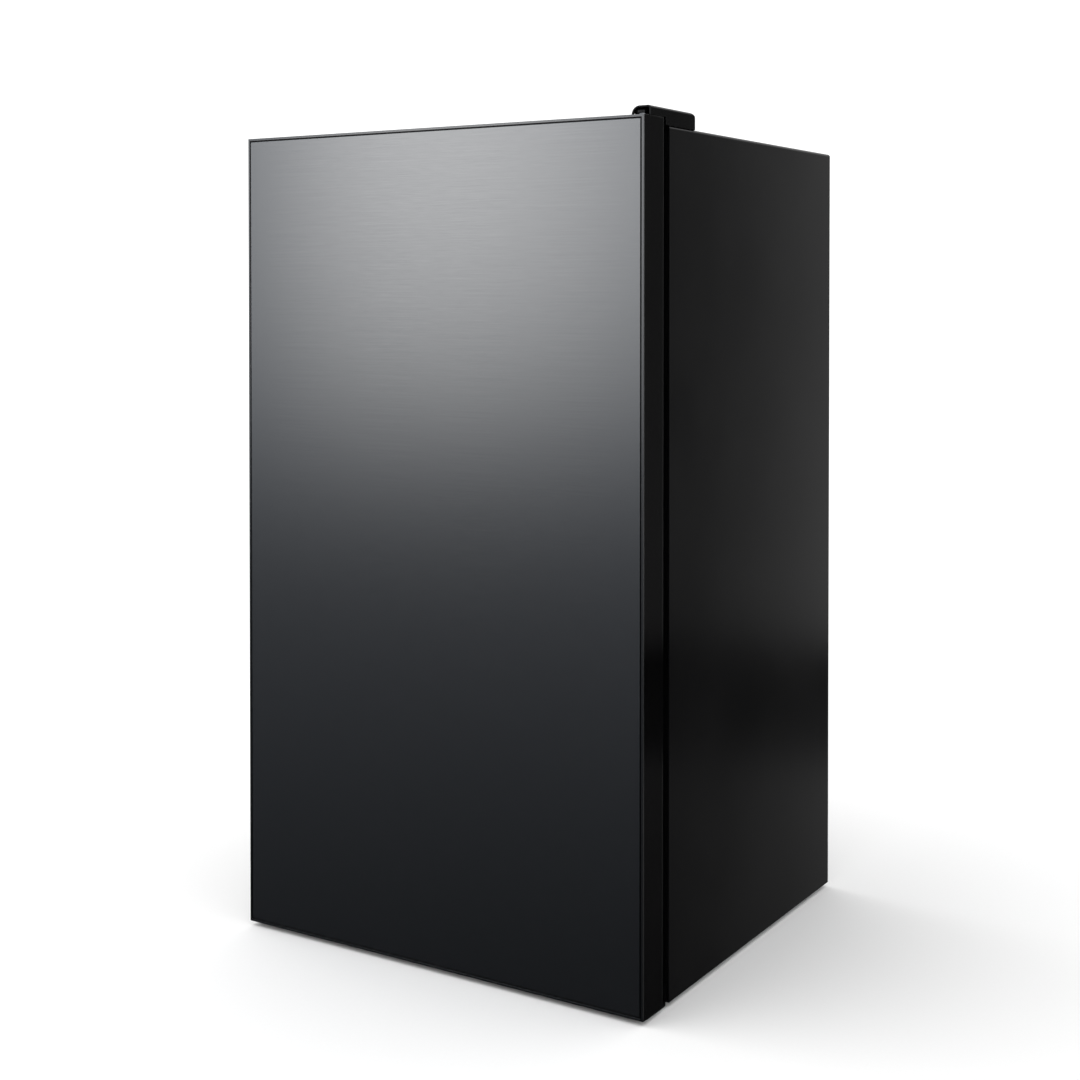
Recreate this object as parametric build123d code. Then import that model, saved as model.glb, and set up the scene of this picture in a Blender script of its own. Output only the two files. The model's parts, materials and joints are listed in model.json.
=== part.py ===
"""Compact refrigerator with a flat metal-faced door hinged on the right.

Frame: origin on the floor under the middle of the body, +X to the right of a person facing
the door, +Y from the door towards the back, +Z up. Every length is in millimetres.
"""

from build123d import *

import math
import os

# ---------------------------------------------------------------- driving dimensions
WIDTH = 475.0
DEPTH = 438.0
GROUND_CLEARANCE = 5.0
DOOR_HEIGHT = 830.0
CABINET_HEIGHT = 823.5
DOOR_THICKNESS = 37.8
GASKET_GAP = 12.7
SHEET = 1.0  # steel sheet of the cabinet
WALL = 42.0  # outer skin to the inside of the liner
TOP_RADIUS = 3.0
FLANGE = 22.0  # width of the steel flange round the front opening
REAR_FLANGE = 12.0
LINER = 2.0  # thickness of the inner liner
LINER_RADIUS = 12.0
SLACK = 0.5  # room between parts that only sit beside each other
SCREW_HOLE = 2.0  # radius of the clearance for a screw
HEAD_DEPTH = 0.6  # depth of a flush screw head

# ---------------------------------------------------------------- planes that follow
X_SIDE = WIDTH / 2
Y_FRONT = -DEPTH / 2
Y_REAR = DEPTH / 2
Z_BOTTOM = GROUND_CLEARANCE
Z_DOOR_TOP = Z_BOTTOM + DOOR_HEIGHT
Z_TOP = Z_BOTTOM + CABINET_HEIGHT
Y_DOOR_REAR = Y_FRONT + DOOR_THICKNESS
Y_CABINET = Y_DOOR_REAR + GASKET_GAP

# cavity inside the liner
X_CAVITY = X_SIDE - WALL
Z_FLOOR = Z_BOTTOM + WALL
Z_CEILING = Z_TOP - WALL
Y_BACK_WALL = 168.0
Y_STEP = 60.0  # inner face of the step over the compressor
Z_STEP = 253.0

# compressor niche at the bottom of the back
Y_NICHE = 95.0
Z_NICHE = 215.0

# top hinge and its cover
HINGE_X = X_SIDE - 11.5
HINGE_Y = Y_FRONT + 20.0
PIN_RADIUS = 3.5
PIN_CLEARANCE = 0.05
BUSH_RADIUS = 6.5
BUSH_LENGTH = 24.0
COVER_WIDTH = 20.0
COVER_TOP = Z_BOTTOM + 839.5
COVER_WALL = 1.5
HINGE_SHEET = 2.5
COVER_PLAN_RADIUS = 7.0
COVER_REAR_RADIUS = 15.0
COVER_LEFT_RADIUS = 8.5
COVER_RIGHT_RADIUS = 2.6
LEAF_HALF = 4.9  # half the width of the leaf over the door
SHOULDER_RADIUS = 4.75
Y_COVER_FRONT = Y_FRONT + 13.0
Y_COVER_REAR = Y_FRONT + 108.0
Z_LEAF = COVER_TOP - COVER_WALL - 2.6  # top of the leaf over the door
PLUG_RADIUS = 5.0

# bottom hinge: a leaf just clear of the floor, under the door
Z_BRACKET = 1.2
BRACKET_SHEET = 2.6
BRACKET_LEFT = 44.0
BRACKET_RIGHT = 8.0
BRACKET_TOP = Z_BOTTOM + 18.0
COLLAR_RADIUS = 6.0
COLLAR_HEIGHT = 0.8
PIN_LENGTH = 26.0
HINGE_SCREW_RADIUS = 2.0
HINGE_HEAD_RADIUS = 4.0
CROSS = (2.4, 0.5)  # half length and half width of a screw's cross slot

# door skin
PANEL = 1.2  # thickness of the metal face
PANEL_EDGE = 0.5
RIM = 2.3  # edge of the door to the pressed line
GROOVE = 1.5
GROOVE_DEPTH = 0.5
TRIM = 2.0
HOOK = 1.2  # turned edge of the trims behind the metal face
HOOK_REACH = 9.0
CAP = 2.5
RETURN = 16.0  # black edge that shows on the back of the door
RETURN_SHEET = 1.5
BOSS_WALL = 2.4
GRIP_Z = (560.0, 740.0)
GRIP_Y = (Y_FRONT + 7, Y_DOOR_REAR - 6)
GRIP_DEPTH = 22.0
GRIP_WALL = 1.8

# levels of the things that stand in the cavity
Z_CRISPER_COVER = 258.0
Z_LOWER_SHELF = 400.0
Z_UPPER_SHELF = 530.0
Z_DRIP_TRAY = 662.0
RUNNER_DEPTH = 8.0
RUNNER_HEIGHT = 5.0
SHELF_HALF = X_CAVITY - 3.5
GLASS = 4.0
Y_SHELF_FRONT = -112.0
Y_SHELF_REAR = 160.0
FLAP_PIVOT_Y = -93.0
FLAP_PIVOT_Z = 776.0
FLAP_THICKNESS = 10.0
FLAP_HALF = 180.0
FLAP_PIN_RADIUS = 2.5
FREEZER_HALF = 186.0
FREEZER_Y = (-74.0, 150.0)
FREEZER_Z = (672.0, 780.0)
FRAME_Y = (-88.0, -74.0)
CHANNEL_RADIUS = 3.2  # raised refrigerant channel on the evaporator
CHANNEL_HALF = 160.0
CHANNEL_PITCH = 36.0
CRISPER_Y = (-88.0, 50.0)
CRISPER_TOP = 249.0
CRISPER_WALL = 2.5
HOUSING = (150.0, X_CAVITY, -60.0, 34.0, 596.0, 640.0)
KNOB_X = 170.0
KNOB_Z = 618.0
SHAFT_RADIUS = 3.0

# door liner
LINER_SHEET = 1.5
DIKE_OUTER = X_CAVITY - 5.5
DIKE_WIDTH = 20.0
Y_DIKE_TOP = Y_CABINET + 20.5
Y_DOOR_POCKET = Y_FRONT + 28.0
Z_DIKE_LOW = Z_FLOOR + 6.0
Z_DIKE_HIGH = Z_CEILING - 5.5
BIN_HALF = 162.0
BINS = {  # name: (bottom, height, depth into the cabinet)
    "upper_bin": (600.0, 58.0, -124.0),
    "middle_bin": (372.0, 66.0, -124.0),
    "lower_bin": (84.0, 104.0, -100.0),
}
LUG_RISE = 30.0  # bin bottom to the top of the lugs that carry it
LUG_Y = (-176.0, -162.0)
LUG_HEIGHT = 14.0
BIN_WALL = 2.4
BIN_CORNER = 20.0
RAIL_RISE = 30.0
RAIL_WIRE = 2.0
DIKE_CORNER = 12.0
POCKET_CORNER = 10.0

FOOT_X = 190.0
FOOT_Y = -140.0
REAR_FOOT_Y = 192.0
FOOT_DISC = 3.8
FOOT_RADIUS = 18.0
STUD_RADIUS = 4.0

COMPRESSOR_X = 45.0
COMPRESSOR_Y = 157.0
MOUNT_X = 84.0  # compressor's middle to its fixing points
MOUNT_Y = 40.0
PLATE_Z = (23.0, 26.0)
BOLT_RADIUS = 3.0
CONDENSER_RADIUS = 2.5
CONDENSER_X = X_SIDE - SHEET - 3.1
CONDENSER_REAR = 185.0
CONDENSER_FRONT = -135.0
SUCTION_RADIUS = 4.0
SUCTION_ENTRY = (150.0, 120.0)
CAPILLARY_RADIUS = 1.0
CAPILLARY_ENTRY = (-60.0, 125.0)
DRIER_X = -150.0
DRIER_Y = 150.0
GLAND_X = -150.0
GLAND_Z = Z_BOTTOM + 16.0
GLAND_NECK = 8.0
GLAND_COLLAR = 10.5

os.makedirs("parts", exist_ok=True)


# ---------------------------------------------------------------- helpers
def block(x0, x1, y0, y1, z0, z1):
    """A box between two corners."""
    return Pos((x0 + x1) / 2, (y0 + y1) / 2, (z0 + z1) / 2) * Box(
        abs(x1 - x0), abs(y1 - y0), abs(z1 - z0)
    )


def soft_block(x0, x1, y0, y1, z0, z1, radius, axis=Axis.Z):
    """A box whose edges along one axis are rounded."""
    box = block(x0, x1, y0, y1, z0, z1)
    return fillet(box.edges().filter_by(axis), radius)


def round_block(x0, x1, y0, y1, z0, z1, radius):
    """A box with every edge rounded."""
    box = block(x0, x1, y0, y1, z0, z1)
    return fillet(box.edges(), radius)


def rod(x, y, z0, z1, radius):
    """An upright cylinder."""
    return Pos(x, y, (z0 + z1) / 2) * Cylinder(radius, abs(z1 - z0))


def rod_x(x0, x1, y, z, radius):
    """A cylinder along X."""
    return Pos((x0 + x1) / 2, y, z) * Rot(0, 90, 0) * Cylinder(radius, abs(x1 - x0))


def rod_y(x, y0, y1, z, radius):
    """A cylinder along Y."""
    return Pos(x, (y0 + y1) / 2, z) * Rot(90, 0, 0) * Cylinder(radius, abs(y1 - y0))


def ring(half_x, z0, z1, band, y0, y1, radius):
    """A rectangular ring standing in the XZ plane, its outer corners rounded."""
    outer = soft_block(-half_x, half_x, y0, y1, z0, z1, radius, Axis.Y)
    hole = soft_block(
        -half_x + band, half_x - band, y0 - 1, y1 + 1, z0 + band, z1 - band,
        max(radius - band, 1.0), Axis.Y,
    )
    return outer - hole


def tube(points, radii, radius):
    """A round bar along straight runs joined by arcs."""
    path = FilletPolyline(*points, radius=radii)
    start = Plane(origin=path @ 0, z_dir=path % 0)
    return sweep(start * Circle(radius), path=path)


def mirrored(shape):
    """The shape and its mirror image across the YZ plane."""
    return Compound(children=[shape, mirror(shape, about=Plane.YZ)])


def save(name, shape):
    """Writes one sub-part."""
    solids = shape.solids()
    body = solids[0] if len(solids) == 1 else Compound(children=list(solids))
    export_step(body, f"parts/{name}.step")


# ---------------------------------------------------------------- cabinet shell
def outer_shell():
    """Steel wrapper: both sides and the top, with a flange round the front and the back."""
    rear = Y_REAR - SHEET
    skin = block(-X_SIDE, X_SIDE, Y_CABINET, rear, Z_BOTTOM, Z_TOP)
    skin = fillet(skin.edges().filter_by(Axis.Y).group_by(Axis.Z)[-1], TOP_RADIUS)
    inside = block(
        -X_SIDE + SHEET, X_SIDE - SHEET, Y_CABINET + SHEET, rear - SHEET,
        Z_BOTTOM - 1, Z_TOP - SHEET,
    )
    inside = fillet(inside.edges().filter_by(Axis.Y).group_by(Axis.Z)[-1], TOP_RADIUS - SHEET)
    mouth = block(
        -X_SIDE + FLANGE, X_SIDE - FLANGE, Y_CABINET - 1, Y_CABINET + SHEET + 1,
        Z_BOTTOM - 1, Z_TOP - FLANGE,
    )
    back = block(
        -X_SIDE + REAR_FLANGE, X_SIDE - REAR_FLANGE, rear - SHEET - 1, rear + 1,
        Z_BOTTOM - 1, Z_TOP - REAR_FLANGE,
    )
    niche = block(
        -X_SIDE + SHEET, X_SIDE - SHEET, rear - SHEET - 1, rear + 1,
        Z_BOTTOM - 1, Z_NICHE - REAR_FLANGE,
    )
    shell = skin - inside - mouth - back - niche - top_screw_holes()
    for x, z in back_screw_places():
        shell -= rod_y(x, Y_REAR - 9, Y_REAR + 1, z, SCREW_HOLE)
    return shell


def top_screw_holes():
    """Clearance in the top for the hinge screws, right, and for the plugs, left."""
    z0, z1 = Z_TOP - 5, Z_TOP + 5
    holes = [rod(x, y, z0, z1, HINGE_SCREW_RADIUS) for x, y in hinge_screw_places()]
    holes += [rod(-x, y, z0, z1, PLUG_RADIUS - 2) for x, y in hinge_screw_places()]
    return Compound(children=holes)


def hinge_screw_places():
    """Where the two screws hold the top hinge to the cabinet."""
    return [(X_SIDE - COVER_WIDTH / 2, y) for y in (Y_CABINET + 14, Y_CABINET + 38)]


def front_rail():
    """Steel channel that closes the front flange at the bottom."""
    half = X_SIDE - FLANGE
    face = block(-half, half, Y_CABINET, Y_CABINET + SHEET, Z_BOTTOM, Z_BOTTOM + FLANGE)
    foot = block(-half, half, Y_CABINET, Y_CABINET + 15, Z_BOTTOM, Z_BOTTOM + SHEET)
    rail = face + foot
    for x, z in bottom_screw_places():
        if abs(x) < half:
            rail -= rod_y(x, Y_CABINET - 2, Y_CABINET + 4, z, HINGE_SCREW_RADIUS)
    return rail


def base_plate():
    """Steel floor under the insulation, with a threaded boss for each front foot."""
    half = X_SIDE - SHEET
    plate = block(-half, half, Y_CABINET + 15, Y_NICHE, Z_BOTTOM, Z_BOTTOM + SHEET)
    for x in (-FOOT_X, FOOT_X):
        plate += rod(x, FOOT_Y, Z_BOTTOM, Z_BOTTOM + 10, 8.0)
        plate -= rod(x, FOOT_Y, Z_BOTTOM - 1, Z_BOTTOM + 11, STUD_RADIUS + PIN_CLEARANCE)
    for y in (-60.0, 0.0, 60.0):
        plate += soft_block(-170, 170, y - 6, y + 6, Z_BOTTOM + SHEET, Z_BOTTOM + 3, 5.9)
    return plate


def back_panel():
    """Flat steel back, stiffened by pressed channels, ending above the compressor niche."""
    half = X_SIDE - SHEET
    bead = 2.0
    panel = block(-half, half, Y_REAR - SHEET, Y_REAR, Z_NICHE - 10, Z_TOP - SHEET)
    for z in (320.0, 440.0, 560.0, 680.0):
        tray = soft_block(
            -190, 190, Y_REAR - SHEET - bead, Y_REAR - SHEET, z, z + 60, 14, Axis.Y
        )
        press = soft_block(
            -188, 188, Y_REAR - bead, Y_REAR + 1, z + 2, z + 58, 12, Axis.Y
        )
        panel = panel + tray - press
    for x, z in back_screw_places():
        panel -= rod_y(x, Y_REAR - 4, Y_REAR + 1, z, SCREW_HOLE)
        panel -= rod_y(x, Y_REAR - HEAD_DEPTH - 0.05, Y_REAR + 1, z, 3.7)
    return panel


def back_screw_places():
    """Screws round the edge of the back panel."""
    edge = X_SIDE - 7
    return [(s * edge, z) for s in (-1, 1) for z in (235.0, 430.0, 625.0, 815.0)]


def back_panel_screws():
    """Flush screws of the back panel, each with a cross slot."""
    screws = []
    for x, z in back_screw_places():
        head = rod_y(x, Y_REAR - HEAD_DEPTH, Y_REAR - 0.05, z, 3.6)
        stem = rod_y(x, Y_REAR - 9, Y_REAR - HEAD_DEPTH, z, 1.6)
        slot = block(x - 2.2, x + 2.2, Y_REAR - 0.4, Y_REAR + 1, z - 0.4, z + 0.4)
        cross = block(x - 0.4, x + 0.4, Y_REAR - 0.4, Y_REAR + 1, z - 2.2, z + 2.2)
        screws.append(head + stem - slot - cross)
    return Compound(children=screws)


def compressor_step_plate():
    """Steel sheet that makes the front and the ceiling of the compressor niche."""
    half = X_SIDE - SHEET
    wall = block(-half, half, Y_NICHE, Y_NICHE + SHEET, Z_BOTTOM, Z_NICHE)
    roof = block(-half, half, Y_NICHE, Y_REAR - 2 * SHEET - 2, Z_NICHE - SHEET, Z_NICHE)
    lip = block(
        -half + 12, half - 12, Y_REAR - 2 * SHEET - 2, Y_REAR - SHEET - 2,
        Z_NICHE - 8, Z_NICHE,
    )
    plate = wall + roof + lip
    z0, z1 = Z_NICHE - 5, Z_NICHE + 5
    for x in (-CONDENSER_X, CONDENSER_X):
        plate -= rod(x, CONDENSER_REAR, z0, z1, CONDENSER_RADIUS)
    plate -= rod(*SUCTION_ENTRY, z0, z1, SUCTION_RADIUS)
    plate -= rod(*CAPILLARY_ENTRY, z0, z1, CAPILLARY_RADIUS + SLACK)
    return plate


def compressor_rail():
    """Steel tray across the bottom of the niche, slotted for air."""
    half = X_SIDE - SHEET
    y0, y1 = Y_NICHE + SHEET, Y_REAR - SHEET
    floor = block(-half, half, y0, y1, Z_BOTTOM, Z_BOTTOM + 2)
    rear_lip = block(-half, half, y1 - 2, y1, Z_BOTTOM, Z_BOTTOM + 28)
    rail = floor + rear_lip
    rail = fillet(rail.edges().filter_by(Axis.X).filter_by_position(
        Axis.Z, Z_BOTTOM + 27, Z_BOTTOM + 29).group_by(Axis.Y)[-1], 0.8)
    for x in range(-200, -90, 16):
        rail -= soft_block(x - 3, x + 3, y0 + 25, y1 - 25, 0, 20, 2.9)
    for x in range(168, 220, 16):
        rail -= soft_block(x - 3, x + 3, y0 + 25, y1 - 25, 0, 20, 2.9)
    for x, y in compressor_foot_places():
        rail -= rod(x, y, 0, 20, BOLT_RADIUS)
    return rail - rod_y(GLAND_X, y1 - 5, y1 + 5, GLAND_Z, GLAND_NECK)


def power_inlet_gland():
    """Moulded bushing through the rear lip, where the supply lead enters."""
    y1 = Y_REAR - SHEET
    body = rod_y(GLAND_X, y1 - 12, y1 - 2, GLAND_Z, GLAND_COLLAR)
    neck = rod_y(GLAND_X, y1 - 2, y1, GLAND_Z, GLAND_NECK)
    collar = rod_y(GLAND_X, y1, y1 + SHEET, GLAND_Z, GLAND_COLLAR)
    rib = rod_y(GLAND_X, y1 - 8, y1 - 5, GLAND_Z, GLAND_COLLAR + 1.5)
    bore = rod_y(GLAND_X, y1 - 14, y1 + 4, GLAND_Z, GLAND_NECK / 2)
    return body + neck + collar + rib - bore


def cavity(grow=0.0):
    """The space inside the liner, or that space grown by a wall thickness."""
    z0, z1 = Z_FLOOR - grow, Z_CEILING + grow
    y0, y1 = Y_CABINET - 1, Y_BACK_WALL + grow
    half = X_CAVITY + grow
    outline = [
        (y0, z0), (Y_STEP + grow, z0), (Y_STEP + grow, Z_STEP - grow),
        (y1, Z_STEP - grow), (y1, z1), (y0, z1),
    ]
    profile = Plane.YZ * make_face(Polyline(*outline, close=True))
    space = extrude(profile, half, both=True)
    reentrant = [
        e for e in space.edges().filter_by(Axis.X)
        if abs(e.center().Y - (Y_STEP + grow)) < 1 and abs(e.center().Z - (Z_STEP - grow)) < 1
    ]
    rounded = [
        e for e in space.edges()
        if e.center().Y > y0 + 1 and e not in reentrant
    ]
    return fillet(rounded, LINER_RADIUS + grow)


def inner_liner():
    """White formed liner with its front flange and the runners that carry the shelves."""
    flange = ring(
        X_SIDE - FLANGE, Z_BOTTOM + FLANGE, Z_TOP - FLANGE, WALL - FLANGE,
        Y_CABINET, Y_CABINET + LINER, 1.0,
    )
    body = cavity(LINER) & block(
        -X_SIDE, X_SIDE, Y_CABINET, Y_REAR, Z_BOTTOM, Z_TOP
    )
    liner = (body + flange) - cavity()
    for level in (Z_CRISPER_COVER, Z_LOWER_SHELF, Z_UPPER_SHELF, Z_DRIP_TRAY):
        rib = round_block(
            X_CAVITY - RUNNER_DEPTH, X_CAVITY + LINER - 0.4, -142, 152,
            level - RUNNER_HEIGHT, level, 1.2,
        )
        if level == Z_CRISPER_COVER:
            rib = rib & cavity(LINER - 0.4)
        liner += rib
        liner += mirror(rib, about=Plane.YZ)
    return liner


def cabinet_foam():
    """Insulation between the steel and the liner."""
    half = X_SIDE - SHEET
    lump = block(
        -half, half, Y_CABINET + 15, Y_REAR - 4, Z_BOTTOM + 4, Z_TOP - SHEET - 2
    )
    niche = block(-X_SIDE, X_SIDE, Y_NICHE, Y_REAR, 0, Z_NICHE)
    lump = lump - niche - cavity(LINER)
    for x in (-FOOT_X, FOOT_X):
        lump -= rod(x, FOOT_Y, 0, Z_BOTTOM + 40, 10.0)
    lump -= tube(*condenser_route(), CONDENSER_RADIUS)
    for x, y in hinge_screw_places():
        lump -= rod(x, y, Z_TOP - 30, Z_TOP + 5, 4.0)
        lump -= rod(-x, y, Z_TOP - 30, Z_TOP + 5, 5.0)
    lump -= rod(*SUCTION_ENTRY, Z_NICHE - 1, Z_NICHE + 22, SUCTION_RADIUS)
    lump -= rod(*CAPILLARY_ENTRY, Z_NICHE - 1, Z_NICHE + 22, CAPILLARY_RADIUS + SLACK)
    for x, z in back_screw_places():
        lump -= rod_y(x, Y_REAR - 12, Y_REAR, z, SCREW_HOLE)
    return lump


def condenser_route():
    """Corner points and bend radii of the condenser: up the right side, across, down the left."""
    x = CONDENSER_X
    low, pitch, runs = 262.0, 72.0, 8
    ends = (CONDENSER_REAR, CONDENSER_FRONT)
    right = [(x, CONDENSER_REAR, Z_NICHE + 0.2)]
    for i in range(runs):
        start, end = ends if i % 2 == 0 else reversed(ends)
        z = low + i * pitch
        right += [(x, start, z), (x, end, z)]
    left = [(-px, py, pz) for px, py, pz in reversed(right)]
    points = right + left
    radii = [18.0] + [30.0] * (2 * runs - 2) + [14.0]
    return points, radii + list(reversed(radii))


def condenser_coil():
    """Tube that gives the heat to the side walls, bedded in the insulation."""
    return tube(*condenser_route(), CONDENSER_RADIUS)


# ---------------------------------------------------------------- feet
def front_foot(x):
    """Levelling foot: a ribbed disc moulded on a threaded stud, screwed fully in."""
    disc = rod(x, FOOT_Y, 0, FOOT_DISC, FOOT_RADIUS)
    disc = fillet(disc.edges().group_by(Axis.Z)[0], 1.2)
    hub = rod(x, FOOT_Y, FOOT_DISC, Z_BOTTOM, 9.0)
    stud = rod(x, FOOT_Y, Z_BOTTOM, Z_BOTTOM + 22, STUD_RADIUS)
    stud = chamfer(stud.edges().group_by(Axis.Z)[-1], 1.0)
    foot = disc + hub + stud
    reach = FOOT_RADIUS + 1.4
    for i in range(12):
        turn = math.radians(30 * i)
        foot -= rod(x + reach * math.cos(turn), FOOT_Y + reach * math.sin(turn), 1.6, 7, 2.6)
    return foot


def rear_feet():
    """Fixed glides under the compressor tray."""
    glide = rod(FOOT_X, REAR_FOOT_Y, 0, Z_BOTTOM, 14.0)
    glide = fillet(glide.edges().group_by(Axis.Z)[0], 1.5)
    return mirrored(glide)


# ---------------------------------------------------------------- compressor and pipes
def compressor_foot_places():
    """The four fixing points of the compressor."""
    return [
        (COMPRESSOR_X + sx * MOUNT_X, COMPRESSOR_Y + sy * MOUNT_Y)
        for sx in (-1, 1) for sy in (-1, 1)
    ]


def compressor_shell():
    """Hermetic shell: two pressed domes joined by a weld flange, with its three pipe stubs."""
    x, y = COMPRESSOR_X, COMPRESSOR_Y
    lower = soft_block(x - 80, x + 80, y - 50, y + 50, 26, 84, 46)
    lower = fillet(lower.edges().group_by(Axis.Z)[0], 20)
    upper = soft_block(x - 77, x + 77, y - 47, y + 47, 84, 148, 44)
    upper = fillet(upper.edges().group_by(Axis.Z)[-1], 30)
    seam = soft_block(x - 83, x + 83, y - 53, y + 53, 81, 87, 48)
    seam = fillet(seam.edges().group_by(Axis.Z)[-1], 1.5)
    stub_discharge = rod_x(x + 70, x + 92, y - 16, 102, 4.5)
    stub_suction = rod_x(x + 70, x + 92, y + 14, 112, 5.5)
    stub_process = rod_x(x + 70, x + 110, y, 66, 3.5)
    return lower + upper + seam + stub_discharge + stub_suction + stub_process


def compressor_feet():
    """Bent steel plate welded under the compressor."""
    x, y = COMPRESSOR_X, COMPRESSOR_Y
    plate = soft_block(x - 94, x + 94, y - 50, y + 50, *PLATE_Z, 10)
    for px, py in compressor_foot_places():
        plate -= rod(px, py, 20, 30, 7.0)
    return plate - soft_block(x - 36, x + 36, y - 24, y + 24, 20, 30, 12)


def compressor_grommets():
    """Rubber mounts between the tray and the compressor."""
    mounts = []
    for px, py in compressor_foot_places():
        low = rod(px, py, Z_BOTTOM + 2, PLATE_Z[0], 10.0)
        waist = rod(px, py, *PLATE_Z, 7.0)
        cap = rod(px, py, PLATE_Z[1], PLATE_Z[1] + 3, 9.5)
        mounts.append(low + waist + cap - rod(px, py, 0, 40, BOLT_RADIUS))
    return Compound(children=mounts)


def compressor_bolts():
    """Bolts and washers through the rubber mounts."""
    bolts = []
    for px, py in compressor_foot_places():
        top = PLATE_Z[1] + 3
        stem = rod(px, py, Z_BOTTOM, top, BOLT_RADIUS)
        washer = rod(px, py, top, top + 1.4, 9.0)
        head = Pos(px, py, top + 3.9) * extrude(RegularPolygon(5.5, 6), 2.5, both=True)
        bolts.append(stem + washer + head)
    return Compound(children=bolts)


def relay_cover():
    """Plastic cover over the start relay and the overload protector."""
    x, y = COMPRESSOR_X - 80, COMPRESSOR_Y
    box = soft_block(x - 40, x + 2, y - 30, y + 30, 48, 118, 6)
    box = fillet(box.edges().group_by(Axis.Z)[-1], 4)
    for dz in (62, 74, 86, 98):
        box -= block(x - 42, x - 38.5, y - 20, y + 20, dz, dz + 3)
    bite = soft_block(x - 3.4, x + 170, y - 53.4, y + 53.4, 20, 160, 48.4)
    return box - bite


def discharge_line():
    """Copper pipe from the compressor to the condenser's right-hand end."""
    x, y = COMPRESSOR_X + 92, COMPRESSOR_Y - 16
    points = [
        (x, y, 102), (x + 30, y, 102), (x + 30, y, 180),
        (CONDENSER_X, CONDENSER_REAR, 180), (CONDENSER_X, CONDENSER_REAR, Z_NICHE),
    ]
    return tube(points, [10.0, 14.0, 14.0], CONDENSER_RADIUS)


def suction_line():
    """Wider copper pipe from the evaporator down to the compressor."""
    x, y = COMPRESSOR_X + 92, COMPRESSOR_Y + 14
    points = [
        (x, y, 112), (x + 26, y, 112), (x + 26, y, 196),
        (*SUCTION_ENTRY, 196), (*SUCTION_ENTRY, Z_NICHE + 20),
    ]
    return tube(points, [10.0, 8.0, 9.0], SUCTION_RADIUS)


def filter_drier():
    """Copper drier between the condenser and the capillary."""
    x, y = DRIER_X, DRIER_Y
    drum = rod(x, y, 90, 165, 9.5)
    drum = fillet(drum.edges(), 6)
    return drum + rod(x, y, 165, 176, 2.5) + rod(x, y, 80, 92, 1.5)


def condenser_return():
    """Pipe from the condenser's left-hand end to the drier."""
    points = [
        (-CONDENSER_X, CONDENSER_REAR, Z_NICHE), (-CONDENSER_X, CONDENSER_REAR, 196),
        (DRIER_X, DRIER_Y, 196), (DRIER_X, DRIER_Y, 176),
    ]
    return tube(points, [9.0, 9.0], CONDENSER_RADIUS)


def capillary_tube():
    """Thin tube from the drier: wound twice in the niche, then up into the insulation."""
    left, right = DRIER_X, DRIER_X + 46
    front, rear = DRIER_Y - 24, DRIER_Y + 24
    rise = 1.6
    points = [(DRIER_X, DRIER_Y, 80), (DRIER_X, DRIER_Y, 62)]
    z = 62.0
    points.append((left, rear, z))
    for _ in range(2):
        for x, y in ((right, rear), (right, front), (left, front), (left, rear)):
            z -= rise
            points.append((x, y, z))
    points += [(right, rear, z - rise), (right, front, z - 2 * rise)]
    points += [(*CAPILLARY_ENTRY, z - 2 * rise), (*CAPILLARY_ENTRY, Z_NICHE + 20)]
    return tube(points, [7.0] + [10.0] * (len(points) - 3), CAPILLARY_RADIUS)


# ---------------------------------------------------------------- hinges
def top_hinge_plate():
    """Joggled steel plate: screwed to the cabinet, raised over the top of the door."""
    x0, x1 = X_SIDE - COVER_WIDTH + COVER_WALL + 0.2, X_SIDE - COVER_WALL - 0.2
    inner0, inner1 = HINGE_X - LEAF_HALF, HINGE_X + LEAF_HALF
    foot = soft_block(x0, x1, Y_CABINET, Y_COVER_REAR - 10, Z_TOP, Z_TOP + HINGE_SHEET, 3)
    riser = block(inner0, inner1, Y_CABINET - 1, Y_CABINET + HINGE_SHEET - 1,
                  Z_TOP, Z_LEAF)
    leaf = soft_block(
        inner0, inner1, Y_COVER_FRONT + 1, Y_CABINET, Z_LEAF - HINGE_SHEET, Z_LEAF, 3
    )
    plate = foot + riser + leaf
    plate -= rod(HINGE_X, HINGE_Y, Z_LEAF - 10, Z_LEAF + 5, PIN_RADIUS)
    for x, y in hinge_screw_places():
        plate -= rod(x, y, Z_TOP - 1, Z_TOP + 5, HINGE_SCREW_RADIUS)
    return plate


def top_hinge_pin():
    """Shouldered pin riveted in the plate and reaching down into the door."""
    shank = rod(HINGE_X, HINGE_Y, Z_DOOR_TOP - 20, Z_LEAF, PIN_RADIUS)
    shank = chamfer(shank.edges().group_by(Axis.Z)[0], 0.8)
    shoulder = rod(HINGE_X, HINGE_Y, Z_DOOR_TOP + 0.6, Z_LEAF - HINGE_SHEET, SHOULDER_RADIUS)
    return shank + shoulder


def top_hinge_screws():
    """Round-headed screws of the top hinge."""
    long, narrow = CROSS
    top = Z_TOP + HINGE_SHEET
    screws = []
    for x, y in hinge_screw_places():
        head = rod(x, y, top, top + 2.4, HINGE_HEAD_RADIUS)
        head = fillet(head.edges().group_by(Axis.Z)[-1], 1.4)
        slot = block(x - long, x + long, y - narrow, y + narrow, top + 1.2, top + 3)
        cross = block(x - narrow, x + narrow, y - long, y + long, top + 1.2, top + 3)
        stem = rod(x, y, Z_TOP - 14, top, HINGE_SCREW_RADIUS)
        screws.append(head + stem - slot - cross)
    return screws


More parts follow.
